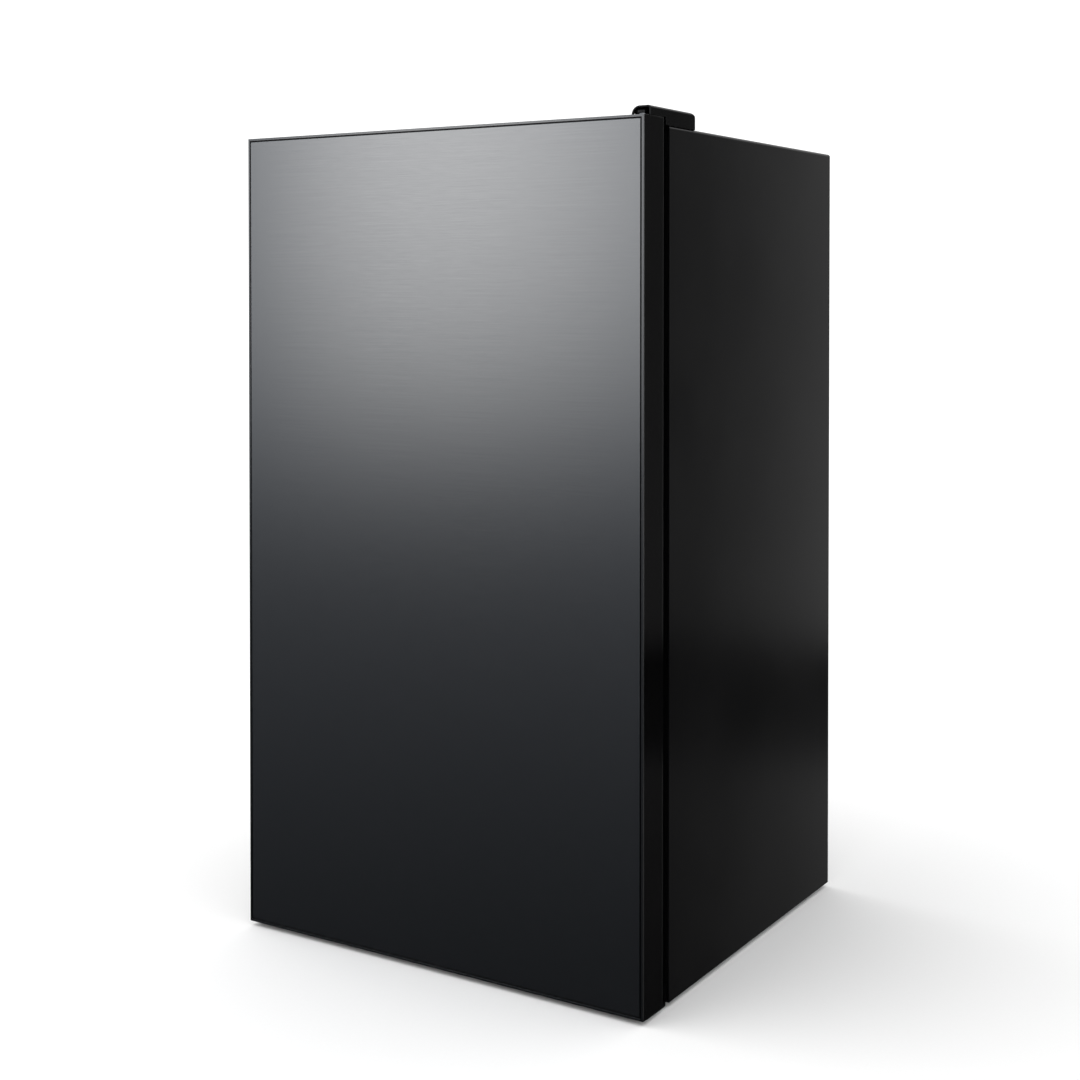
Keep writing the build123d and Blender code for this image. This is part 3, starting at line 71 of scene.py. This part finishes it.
BEHIND_BLEND = 0.35  # how gently the front of the room turns into its sides
BROAD_GRAIN = 0.04  # broad mottling against the fine grain of a surface


class Nodes:
    """A material's node tree with short ways to add to it."""

    def __init__(self, tree):
        self.tree = tree

    def add(self, kind, **values):
        """Adds a node; values name its properties."""
        node = self.tree.nodes.new(kind)
        for name, value in values.items():
            setattr(node, name, value)
        return node

    def link(self, source, target):
        """Joins an output to an input."""
        self.tree.links.new(source, target)

    def position(self, stretch=(1, 1, 1)):
        """Object position, in metres, scaled along each axis."""
        coordinates = self.add("ShaderNodeTexCoord")
        mapping = self.add("ShaderNodeMapping")
        mapping.inputs["Scale"].default_value = stretch
        self.link(coordinates.outputs["Object"], mapping.inputs["Vector"])
        return mapping.outputs["Vector"]

    def noise(self, scale, detail=3.0, stretch=(1, 1, 1), roughness=0.5):
        """Noise of a given scale per metre."""
        texture = self.add("ShaderNodeTexNoise")
        texture.inputs["Scale"].default_value = scale
        texture.inputs["Detail"].default_value = detail
        texture.inputs["Roughness"].default_value = roughness
        self.link(self.position(stretch), texture.inputs["Vector"])
        return texture.outputs["Fac"]

    def cells(self, scale, feature="F1", stretch=(1, 1, 1)):
        """Cell pattern of a given scale per metre."""
        texture = self.add("ShaderNodeTexVoronoi", feature=feature)
        texture.inputs["Scale"].default_value = scale
        self.link(self.position(stretch), texture.inputs["Vector"])
        return texture

    def spread(self, source, low, high, start=0.3, end=0.7):
        """Stretches a 0 to 1 signal over low to high."""
        node = self.add("ShaderNodeMapRange")
        for name, value in (("From Min", start), ("From Max", end), ("To Min", low), ("To Max", high)):
            node.inputs[name].default_value = value
        self.link(source, node.inputs["Value"])
        return node.outputs["Result"]

    def mix(self, factor, dark, light):
        """Colour between two colours; each may be an output or a plain colour."""
        node = self.add("ShaderNodeMix", data_type="RGBA")
        self.link(factor, node.inputs["Factor"])
        for socket, value in ((node.inputs[6], dark), (node.inputs[7], light)):
            if isinstance(value, bpy.types.NodeSocket):
                self.link(value, socket)
            else:
                socket.default_value = (*value, 1.0)
        return node.outputs[2]

    def bump(self, height, depth, strength=1.0, under=None):
        """Surface relief of a depth in metres."""
        node = self.add("ShaderNodeBump")
        node.inputs["Strength"].default_value = strength
        node.inputs["Distance"].default_value = depth
        self.link(height, node.inputs["Height"])
        if under is not None:
            self.link(under, node.inputs["Normal"])
        return node.outputs["Normal"]

    def soft_edges(self, radius):
        """Normal that rounds sharp edges a little."""
        node = self.add("ShaderNodeBevel", samples=6)
        node.inputs["Radius"].default_value = radius
        return node.outputs["Normal"]


def new_material(name, **sockets):
    """A material with one Principled shader; returns it with its nodes and shader."""
    material = bpy.data.materials.new(name)
    material.use_nodes = True
    nodes = Nodes(material.node_tree)
    shader = material.node_tree.nodes["Principled BSDF"]
    for socket, value in sockets.items():
        label = socket.replace("_", " ")
        shader.inputs[label].default_value = (*value, 1.0) if isinstance(value, tuple) else value
    return material, nodes, shader


def surface(nodes, shader, dark, light, grain, smooth, rough, relief, edge=0.0004):
    """Sets colour, roughness and relief from noise.

    grain is per metre, relief and edge are in metres, smooth and rough are roughnesses.
    """
    broad = nodes.noise(grain * BROAD_GRAIN, 4.0)
    fine = nodes.noise(grain, 3.0)
    nodes.link(nodes.mix(nodes.spread(broad, 0, 1), dark, light), shader.inputs["Base Color"])
    nodes.link(nodes.spread(broad, smooth, rough), shader.inputs["Roughness"])
    normal = nodes.bump(fine, relief, under=nodes.soft_edges(edge))
    nodes.link(normal, shader.inputs["Normal"])


# ---------------------------------------------------------------- materials
DOOR_METAL = 0.5  # grey of the door's metal
LONG_GRAIN = (9, 9, 1500)  # repeats per metre along X, Y and Z
SHORT_GRAIN = (45, 45, 4200)
RIM_LINE = (0.0023, 0.0038)  # where the painted groove shade starts and ends, in from the door's edge; painted edge shade lies outside it
# Painted shade on the door's rim: how far its turned edge is darkened and to what tone, and the near-black
# tone painted into its pressed groove.
EDGE_SHADE = 0.45
GROOVE_SHADE_TONE = (0.02, 0.02, 0.02)
EDGE_SHADE_TONE = (0.1, 0.1, 0.1)


def rim_shade_masks(nodes):
    """Two masks for painted shade: the pressed groove round the door's face, and the turned edge outside it.
    """
    low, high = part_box("door_front_panel")
    axes = nodes.add("ShaderNodeSeparateXYZ")
    nodes.link(nodes.position(), axes.inputs["Vector"])
    x, _, z = axes.outputs
    from_side = calculate(nodes, "SUBTRACT", high[0], calculate(nodes, "ABSOLUTE", x))
    from_end = calculate(nodes, "MINIMUM", calculate(nodes, "SUBTRACT", z, low[2]),
                         calculate(nodes, "SUBTRACT", high[2], z))
    distance = calculate(nodes, "MINIMUM", from_side, from_end)
    # Painted shade: the pressed groove gets a near-black tone, and the turned edge outside it is darkened.
    inside = calculate(nodes, "GREATER_THAN", distance, RIM_LINE[0])
    groove_shade = calculate(nodes, "MULTIPLY", inside, calculate(nodes, "LESS_THAN", distance, RIM_LINE[1]))
    edge = calculate(nodes, "MULTIPLY", calculate(nodes, "SUBTRACT", 1.0, inside), EDGE_SHADE)
    return groove_shade, edge


def door_metal():
    """Satin dark metal with a fine grain across the door, with painted shade darkening its turned edge and
    its pressed groove.
    """
    material, nodes, shader = new_material("door_metal", Metallic=1.0)
    streaks = nodes.noise(1.0, 4.0, LONG_GRAIN, 0.6)
    fibres = nodes.noise(1.0, 2.0, SHORT_GRAIN, 0.6)
    cloud = nodes.noise(5.0, 3.0)
    grey = DOOR_METAL
    base = nodes.mix(nodes.spread(streaks, 0, 1), (grey * 0.955, grey * 0.955, grey * 0.965),
                     (grey * 1.04, grey * 1.04, grey * 1.045))
    tint = nodes.mix(nodes.spread(cloud, 0, 0.06), base, (grey * 0.8, grey * 0.82, grey * 0.86))
    # Painted shade: the turned edge is darkened first, then the pressed groove is painted near black.
    groove_shade, edge = rim_shade_masks(nodes)
    shaded = nodes.mix(edge, tint, EDGE_SHADE_TONE)
    nodes.link(nodes.mix(groove_shade, shaded, GROOVE_SHADE_TONE), shader.inputs["Base Color"])
    nodes.link(nodes.spread(fibres, 0.15, 0.2), shader.inputs["Roughness"])
    normal = nodes.bump(fibres, 0.000004, under=nodes.soft_edges(0.0003))
    nodes.link(normal, shader.inputs["Normal"])
    return material


def cabinet_black():
    """Black enamel on steel, with the slight ripple of sprayed paint."""
    material, nodes, shader = new_material("cabinet_black", Specular_IOR_Level=0.5)
    ripple = nodes.noise(260.0, 2.0)
    cloud = nodes.noise(7.0, 4.0)
    nodes.link(nodes.mix(nodes.spread(cloud, 0, 1), (0.0014, 0.0014, 0.0016), (0.0022, 0.0022, 0.0024)),
               shader.inputs["Base Color"])
    nodes.link(nodes.spread(cloud, 0.13, 0.17), shader.inputs["Roughness"])
    normal = nodes.bump(ripple, 0.000012, under=nodes.soft_edges(0.0005))
    nodes.link(normal, shader.inputs["Normal"])
    return material


def black_plastic():
    """Moulded black plastic with a fine spark texture."""
    material, nodes, shader = new_material("black_plastic")
    surface(nodes, shader, dark=(0.002, 0.002, 0.0022), light=(0.0034, 0.0034, 0.0036),
            grain=1800.0, smooth=0.3, rough=0.38, relief=0.00002)
    return material


def glossy_black():
    """Smoother black plastic of the door's edge and the hinge cover."""
    material, nodes, shader = new_material("glossy_black_plastic")
    surface(nodes, shader, dark=(0.0006, 0.0006, 0.0007), light=(0.001, 0.001, 0.0011),
            grain=900.0, smooth=0.05, rough=0.08, relief=0.000003)
    return material


def back_grey():
    """Charcoal powder coat on the back."""
    material, nodes, shader = new_material("back_powder_coat")
    surface(nodes, shader, dark=(0.014, 0.014, 0.0148), light=(0.0155, 0.0155, 0.0163),
            grain=1300.0, smooth=0.54, rough=0.58, relief=0.00006)
    return material


def zinc_steel():
    """Galvanised sheet with its spangle and a little dulling."""
    material, nodes, shader = new_material("galvanised_steel", Metallic=1.0)
    spangle = nodes.cells(95.0)
    grey = nodes.add("ShaderNodeSeparateColor")
    nodes.link(spangle.outputs["Color"], grey.inputs["Color"])
    base = nodes.mix(grey.outputs["Red"], (0.44, 0.455, 0.46), (0.62, 0.63, 0.635))
    dull = nodes.spread(nodes.noise(18.0, 5.0), 0, 0.45, 0.5, 0.75)
    nodes.link(nodes.mix(dull, base, (0.38, 0.37, 0.35)), shader.inputs["Base Color"])
    nodes.link(nodes.spread(grey.outputs["Green"], 0.3, 0.48, 0, 1), shader.inputs["Roughness"])
    normal = nodes.bump(nodes.noise(900.0), 0.00002, under=nodes.soft_edges(0.0004))
    nodes.link(normal, shader.inputs["Normal"])
    return material


def hinge_steel():
    """Bright plated steel with rubbing marks."""
    material, nodes, shader = new_material("plated_hinge_steel", Metallic=1.0)
    marks = nodes.noise(1.0, 4.0, (90, 1400, 90), 0.6)
    nodes.link(nodes.mix(nodes.spread(marks, 0, 1), (0.42, 0.43, 0.44), (0.6, 0.6, 0.6)),
               shader.inputs["Base Color"])
    nodes.link(nodes.spread(marks, 0.22, 0.4), shader.inputs["Roughness"])
    normal = nodes.bump(marks, 0.00001, under=nodes.soft_edges(0.0003))
    nodes.link(normal, shader.inputs["Normal"])
    return material


def screw_steel():
    """Bright screw heads."""
    material, nodes, shader = new_material("screw_steel", Metallic=1.0)
    surface(nodes, shader, dark=(0.55, 0.56, 0.57), light=(0.7, 0.7, 0.7),
            grain=2500.0, smooth=0.18, rough=0.3, relief=0.00001, edge=0.0002)
    return material


def liner_white():
    """Formed white polystyrene, faintly rippled, glossier where the sheet stretched."""
    material, nodes, shader = new_material(
        "liner_polystyrene", Subsurface_Weight=0.04, Subsurface_Scale=0.002)
    surface(nodes, shader, dark=(0.71, 0.718, 0.715), light=(0.725, 0.732, 0.729),
            grain=420.0, smooth=0.27, rough=0.33, relief=0.00004, edge=0.0008)
    return material


def white_plastic():
    """Moulded white plastic of frames, tray and trims."""
    material, nodes, shader = new_material("moulded_white", Subsurface_Weight=0.04, Subsurface_Scale=0.002)
    surface(nodes, shader, dark=(0.73, 0.735, 0.74), light=(0.745, 0.75, 0.755),
            grain=1500.0, smooth=0.3, rough=0.38, relief=0.00002, edge=0.0005)
    return material


def clear_plastic():
    """Clear moulded polystyrene with faint flow marks and scuffs."""
    material, nodes, shader = new_material("clear_polystyrene", Transmission_Weight=1.0, IOR=1.5)
    flow = nodes.noise(1.0, 3.0, (14, 14, 60))
    scuffs = nodes.noise(1.0, 5.0, (300, 40, 300), 0.7)
    nodes.link(nodes.mix(nodes.spread(flow, 0, 1), (0.965, 0.985, 0.99), (0.985, 0.996, 1.0)),
               shader.inputs["Base Color"])
    nodes.link(nodes.spread(scuffs, 0.03, 0.16, 0.45, 0.75), shader.inputs["Roughness"])
    nodes.link(nodes.bump(flow, 0.00004, under=nodes.soft_edges(0.0004)), shader.inputs["Normal"])
    return material


def frosted_flap():
    """Milky clear flap of the freezer box."""
    material, nodes, shader = new_material("frosted_polystyrene", Transmission_Weight=0.75, IOR=1.5)
    surface(nodes, shader, dark=(0.78, 0.86, 0.89), light=(0.86, 0.92, 0.94),
            grain=1400.0, smooth=0.28, rough=0.42, relief=0.00005)
    return material


def shelf_glass():
    """Tempered glass, green in its thickness, with faint wipe marks."""
    material, nodes, shader = new_material("tempered_glass", Transmission_Weight=1.0, IOR=1.5)
    wipes = nodes.noise(1.0, 4.0, (12, 60, 12), 0.6)
    nodes.link(nodes.mix(nodes.spread(wipes, 0, 1), (0.9, 0.97, 0.945), (0.94, 0.985, 0.965)),
               shader.inputs["Base Color"])
    nodes.link(nodes.spread(wipes, 0.01, 0.07, 0.5, 0.8), shader.inputs["Roughness"])
    nodes.link(nodes.soft_edges(0.0008), shader.inputs["Normal"])
    return material


def aluminium():
    """Roll-bonded aluminium with rolling lines and a trace of frost."""
    material, nodes, shader = new_material("rolled_aluminium", Metallic=0.9)
    lines = nodes.noise(1.0, 3.0, (1500, 12, 12), 0.6)
    frost = nodes.spread(nodes.noise(40.0, 6.0, roughness=0.7), 0, 0.6, 0.52, 0.72)
    base = nodes.mix(nodes.spread(lines, 0, 1), (0.66, 0.67, 0.68), (0.78, 0.785, 0.79))
    nodes.link(nodes.mix(frost, base, (0.87, 0.89, 0.9)), shader.inputs["Base Color"])
    nodes.link(nodes.spread(frost, 0.3, 0.62, 0, 0.6), shader.inputs["Roughness"])
    normal = nodes.bump(nodes.noise(700.0, 4.0), 0.00005, under=nodes.soft_edges(0.0005))
    nodes.link(normal, shader.inputs["Normal"])
    return material


def copper():
    """Drawn copper pipe, browned in patches."""
    material, nodes, shader = new_material("copper_pipe", Metallic=1.0)
    patches = nodes.noise(60.0, 5.0, roughness=0.65)
    nodes.link(nodes.mix(nodes.spread(patches, 0, 1), (0.34, 0.155, 0.09), (0.68, 0.36, 0.24)),
               shader.inputs["Base Color"])
    nodes.link(nodes.spread(patches, 0.45, 0.24), shader.inputs["Roughness"])
    nodes.link(nodes.bump(nodes.noise(1500.0), 0.00001), shader.inputs["Normal"])
    return material


def compressor_black():
    """Thick black enamel of the compressor."""
    material, nodes, shader = new_material("compressor_enamel", Coat_Weight=0.3, Coat_Roughness=0.12)
    surface(nodes, shader, dark=(0.006, 0.006, 0.006), light=(0.013, 0.013, 0.013),
            grain=330.0, smooth=0.24, rough=0.34, relief=0.00012, edge=0.0012)
    return material


def rubber(name="black_rubber", tone=0.012):
    """Matte rubber with a dusty bloom."""
    material, nodes, shader = new_material(name)
    surface(nodes, shader, dark=(tone, tone, tone), light=(tone * 1.9, tone * 1.9, tone * 1.8),
            grain=1600.0, smooth=0.6, rough=0.75, relief=0.00004, edge=0.0006)
    return material


def seal_vinyl():
    """Black soft vinyl of the door seal."""
    return rubber("seal_vinyl", 0.002)


def foam_yellow():
    """Cut polyurethane foam with its cells, painted darker in the pore hollows as shade."""
    material, nodes, shader = new_material("insulation_foam", Roughness=0.9)
    pores = nodes.cells(900.0).outputs["Distance"]
    # Painted shade: each pore is darker towards its hollow centre, following the bump depth.
    nodes.link(nodes.mix(nodes.spread(pores, 0, 1, 0, 1), (0.45, 0.36, 0.17), (0.8, 0.69, 0.4)),
               shader.inputs["Base Color"])
    nodes.link(nodes.bump(pores, 0.0004), shader.inputs["Normal"])
    return material


def bush_plastic():
    """Natural acetal of the hinge bushes."""
    material, nodes, shader = new_material("acetal", Subsurface_Weight=0.1, Subsurface_Scale=0.001)
    surface(nodes, shader, dark=(0.72, 0.71, 0.66), light=(0.78, 0.77, 0.72),
            grain=1200.0, smooth=0.3, rough=0.4, relief=0.00001)
    return material


def chrome_wire():
    """Plated wire of the bottle rail."""
    material, nodes, shader = new_material("chrome_wire", Metallic=1.0)
    surface(nodes, shader, dark=(0.74, 0.745, 0.75), light=(0.82, 0.82, 0.82),
            grain=1800.0, smooth=0.07, rough=0.16, relief=0.000006)
    return material


MATERIALS = {
    "door_metal": door_metal, "cabinet_black": cabinet_black, "back_grey": back_grey,
    "zinc_steel": zinc_steel, "hinge_steel": hinge_steel, "screw_steel": screw_steel,
    "black_plastic": black_plastic, "liner_white": liner_white, "white_plastic": white_plastic,
    "clear_plastic": clear_plastic, "shelf_glass": shelf_glass, "aluminium": aluminium,
    "copper": copper, "compressor_black": compressor_black, "rubber_black": rubber,
    "gasket_grey": seal_vinyl, "foam_yellow": foam_yellow, "bush_plastic": bush_plastic,
    "chrome_wire": chrome_wire, "glossy_black": glossy_black, "frosted": frosted_flap,
}
NODE_MATERIALS = {
    "top_hinge_cover": "glossy_black", "door_side_trim_left": "glossy_black",
    "door_side_trim_right": "glossy_black", "door_top_cap": "glossy_black",
    "door_bottom_cap": "glossy_black", "top_hinge_plate": "cabinet_black",
    "bottom_hinge_bracket": "cabinet_black", "freezer_flap": "frosted",
}


def dress_parts():
    """Gives every part the material of its slot, or its own."""
    made = {slot: build() for slot, build in MATERIALS.items()}
    slot_of = {part["node"]: part["material_slot"] for part in frame["record"]["subparts"]}
    for node, part in frame["nodes"].items():
        material = made[NODE_MATERIALS.get(node, slot_of[node])]
        for place in part.material_slots:
            place.material = material


# ---------------------------------------------------------------- stage
def floor():
    """Plain white floor, large enough to fill every view."""
    half = 30.0
    mesh = bpy.data.meshes.new("floor")
    corners = [(-half, -half, 0), (half, -half, 0), (half, half, 0), (-half, half, 0)]
    mesh.from_pydata(corners, [], [(0, 1, 2, 3)])
    plane = bpy.data.objects.new("floor", mesh)
    bpy.context.collection.objects.link(plane)
    material, nodes, shader = new_material("floor_white", Roughness=0.9, Specular_IOR_Level=0.0)
    paper = nodes.noise(300.0, 2.0)
    nodes.link(nodes.mix(nodes.spread(paper, 0, 1), (0.895, 0.895, 0.895), (0.905, 0.905, 0.905)),
               shader.inputs["Base Color"])
    plane.data.materials.append(material)
    plane.visible_glossy = False


def sine(degrees):
    """Height of a direction at an elevation, from 0 straight down to 1 straight up."""
    return (math.sin(math.radians(degrees)) + 1) / 2


def ramp(nodes, source, stops):
    """Grey ramp over a 0 to 1 signal, from (place, value) pairs."""
    node = nodes.add("ShaderNodeValToRGB")
    nodes.link(source, node.inputs["Fac"])
    elements = node.color_ramp.elements
    while len(elements) < len(stops):
        elements.new(0.5)
    for element, (place, value) in zip(elements, stops):
        element.position = place
        element.color = (value, value, value, 1)
    return node.outputs["Color"]


def calculate(nodes, operation, *values):
    """A math node on outputs or plain numbers."""
    node = nodes.add("ShaderNodeMath", operation=operation)
    for socket, value in zip(node.inputs, values):
        if isinstance(value, bpy.types.NodeSocket):
            nodes.link(value, socket)
        else:
            socket.default_value = value
    return node.outputs["Value"]


def tinted(nodes, brightness, tint):
    """A brightness as light of a tint."""
    node = nodes.add("ShaderNodeVectorMath", operation="SCALE")
    node.inputs[0].default_value = tint
    nodes.link(brightness, node.inputs["Scale"])
    return node.outputs[0]


def key_light():
    """Very soft light from the upper left, which throws the floor shadow to the right."""
    lamp = bpy.data.lights.new("key", "SUN")
    lamp.energy = KEY_STRENGTH
    lamp.angle = KEY_WIDTH
    key = bpy.data.objects.new("key", lamp)
    key.rotation_euler = (KEY_TILT, 0, KEY_TURN)
    key.visible_glossy = False
    bpy.context.collection.objects.link(key)


def world():
    """White to the eye, an even dome for matt surfaces, a graded room for shiny ones."""
    sky = bpy.data.worlds.new("studio")
    bpy.context.scene.world = sky
    sky.use_nodes = True
    sky.cycles.sampling_method = "NONE"
    nodes = Nodes(sky.node_tree)
    background = sky.node_tree.nodes["Background"]
    axes = nodes.add("ShaderNodeSeparateXYZ")
    nodes.link(nodes.add("ShaderNodeTexCoord").outputs["Generated"], axes.inputs["Vector"])
    x, y, z = axes.outputs
    height = nodes.spread(z, 0, 1, -1, 1)
    level = calculate(nodes, "SQRT", calculate(nodes, "SUBTRACT", 1.0001, calculate(nodes, "MULTIPLY", z, z)))
    across = calculate(nodes, "DIVIDE", x, level)
    span = nodes.spread(across, 0, 1, -1, 1)
    box = calculate(nodes, "MULTIPLY",
                    ramp(nodes, height, [(sine(e), v) for e, v in FRONT_BOX]),
                    ramp(nodes, span, [((a + 1) / 2, v) for a, v in BOX_SPAN]))
    low = ramp(nodes, height, [(sine(e), v) for e, v in FRONT_ROOM])
    front = nodes.add("ShaderNodeVectorMath", operation="ADD")
    nodes.link(tinted(nodes, box, BOX_TINT), front.inputs[0])
    nodes.link(tinted(nodes, low, ROOM_TINT), front.inputs[1])
    side = calculate(nodes, "MULTIPLY",
                     ramp(nodes, height, [(sine(e), v) for e, v in SIDE_ROOM]),
                     ramp(nodes, calculate(nodes, "ABSOLUTE", across), SIDE_SPAN))
    behind = nodes.spread(y, 0, 1, -BEHIND_BLEND, BEHIND_BLEND)
    room = nodes.mix(behind, front.outputs[0], side)
    rays = nodes.add("ShaderNodeLightPath")
    lit = nodes.mix(rays.outputs["Is Glossy Ray"], (DOME, DOME, DOME), room)
    seen = nodes.mix(rays.outputs["Is Camera Ray"], lit, (BACKDROP, BACKDROP, BACKDROP))
    nodes.link(seen, background.inputs["Color"])


def camera():
    """The camera, placed from the lower right front corner of the door."""
    low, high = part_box("door_front_panel")
    corner = Vector((high[0], low[1], low[2]))
    lens = bpy.data.cameras.new("camera")
    lens.lens = FOCAL_LENGTH
    lens.sensor_width = SENSOR
    lens.shift_y = -SHIFT_DOWN
    eye = bpy.data.objects.new("camera", lens)
    turn = Matrix.Rotation(CAMERA_TURN, 4, "Z")
    tilt = Matrix.Rotation(math.pi / 2 - CAMERA_TILT, 4, "X")
    eye.matrix_world = Matrix.Translation(corner + CAMERA_OFFSET) @ turn @ tilt
    bpy.context.collection.objects.link(eye)
    bpy.context.scene.camera = eye


dress_parts()
floor()
world()
key_light()
camera()
bpy.context.scene.view_settings.view_transform = "Standard"
